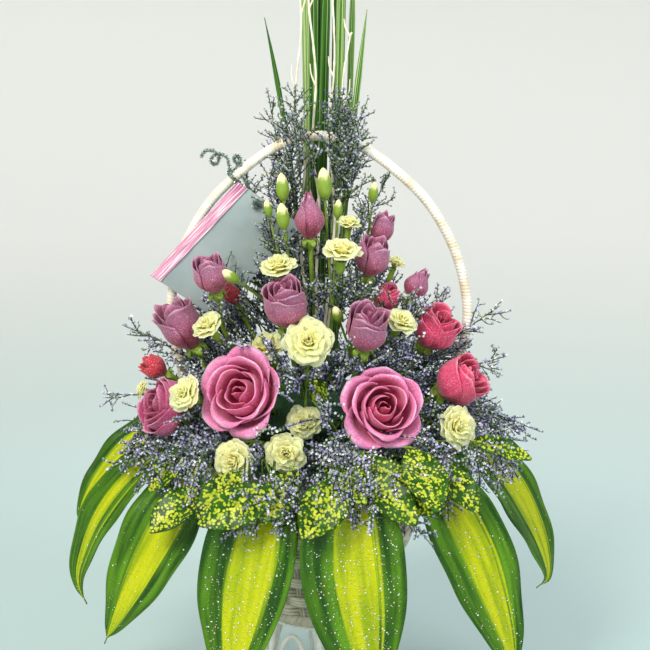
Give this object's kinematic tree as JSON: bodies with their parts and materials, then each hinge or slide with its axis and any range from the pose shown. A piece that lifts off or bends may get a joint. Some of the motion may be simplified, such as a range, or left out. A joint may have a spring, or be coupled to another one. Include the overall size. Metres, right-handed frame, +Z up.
{
  "type": "flower basket arrangement",
  "caption": "Woven basket on a wire stand with a tall arched handle, filled with roses, carnations, sea lavender, long striped leaves, grass and a blank card.",
  "frame": {"origin": "on the floor, under the middle of the basket and its stand", "axes": "+Z up along the tall grass, -Y towards the front that the blooms face, +X to the front's right"},
  "size_m": [0.4991, 0.4019, 0.8],
  "materials": {
    "stand": "white coated wire, satin",
    "cane": "bleached rattan weave, matt",
    "handle_cane": "white flat cane wound round a core, satin",
    "liner": "dark green waterproof plastic, matt",
    "foam": "green floral foam, soaked, matt",
    "mauve_petal": "dusky mauve petals, soft",
    "pink_petal": "pink petals with a deeper heart, soft",
    "hot_petal": "hot pink petals, soft",
    "red_petal": "crimson petals, soft",
    "carnation_petal": "cream yellow frilled petals, soft",
    "stem": "fresh green stems, calyxes and buds, matt",
    "dracaena_leaf": "green leaf with a yellow-green band and glitter, satin",
    "speckled_leaf": "green leaf spotted with yellow, satin",
    "grass_blade": "dark green blades, satin",
    "willow_twig": "bleached twig, matt",
    "lavender_floret": "pale lilac papery florets on grey-green stems",
    "card_paper": "blank pale blue-grey card",
    "ribbon_satin": "pink satin ribbon",
    "tinsel": "silver green tinsel on thin wire, glittery"
  },
  "bodies": {
    "root": {"stand": "stand", "basket": "cane", "handle": "handle_cane", "liner": "liner", "foam": "foam", "bloom_stems": "stem", "card": "card_paper", "card_ribbon": "ribbon_satin", "carnation_01": "carnation_petal", "carnation_02": "carnation_petal", "carnation_03": "carnation_petal", "carnation_04": "carnation_petal", "carnation_05": "carnation_petal", "carnation_06": "carnation_petal", "carnation_07": "carnation_petal", "carnation_08": "carnation_petal", "carnation_09": "carnation_petal", "carnation_10": "carnation_petal", "carnation_11": "carnation_petal", "carnation_12": "carnation_petal", "carnation_13": "carnation_petal", "carnation_14": "carnation_petal", "carnation_15": "carnation_petal", "dracaena_01": "dracaena_leaf", "dracaena_02": "dracaena_leaf", "dracaena_03": "dracaena_leaf", "dracaena_04": "dracaena_leaf", "dracaena_05": "dracaena_leaf", "dracaena_06": "dracaena_leaf", "dracaena_07": "dracaena_leaf", "dracaena_08": "dracaena_leaf", "dracaena_09": "dracaena_leaf", "dracaena_10": "dracaena_leaf", "gold_dust_back": "speckled_leaf", "gold_dust_left": "speckled_leaf", "gold_dust_right": "speckled_leaf", "grass": "grass_blade", "rose_01": "pink_petal", "rose_02": "pink_petal", "rose_03": "pink_petal", "rose_04": "mauve_petal", "rose_05": "mauve_petal", "rose_06": "mauve_petal", "rose_07": "mauve_petal", "rose_08": "mauve_petal", "rose_09": "mauve_petal", "rose_10": "mauve_petal", "rose_11": "mauve_petal", "rose_12": "hot_petal", "rose_13": "hot_petal", "rose_14": "hot_petal", "rose_15": "red_petal", "rose_16": "red_petal", "sea_lavender_back": "lavender_floret", "sea_lavender_front": "lavender_floret", "sea_lavender_left": "lavender_floret", "sea_lavender_right": "lavender_floret", "sea_lavender_top": "lavender_floret", "tinsel_tie": "tinsel", "willow": "willow_twig"}
  },
  "joints": []
}
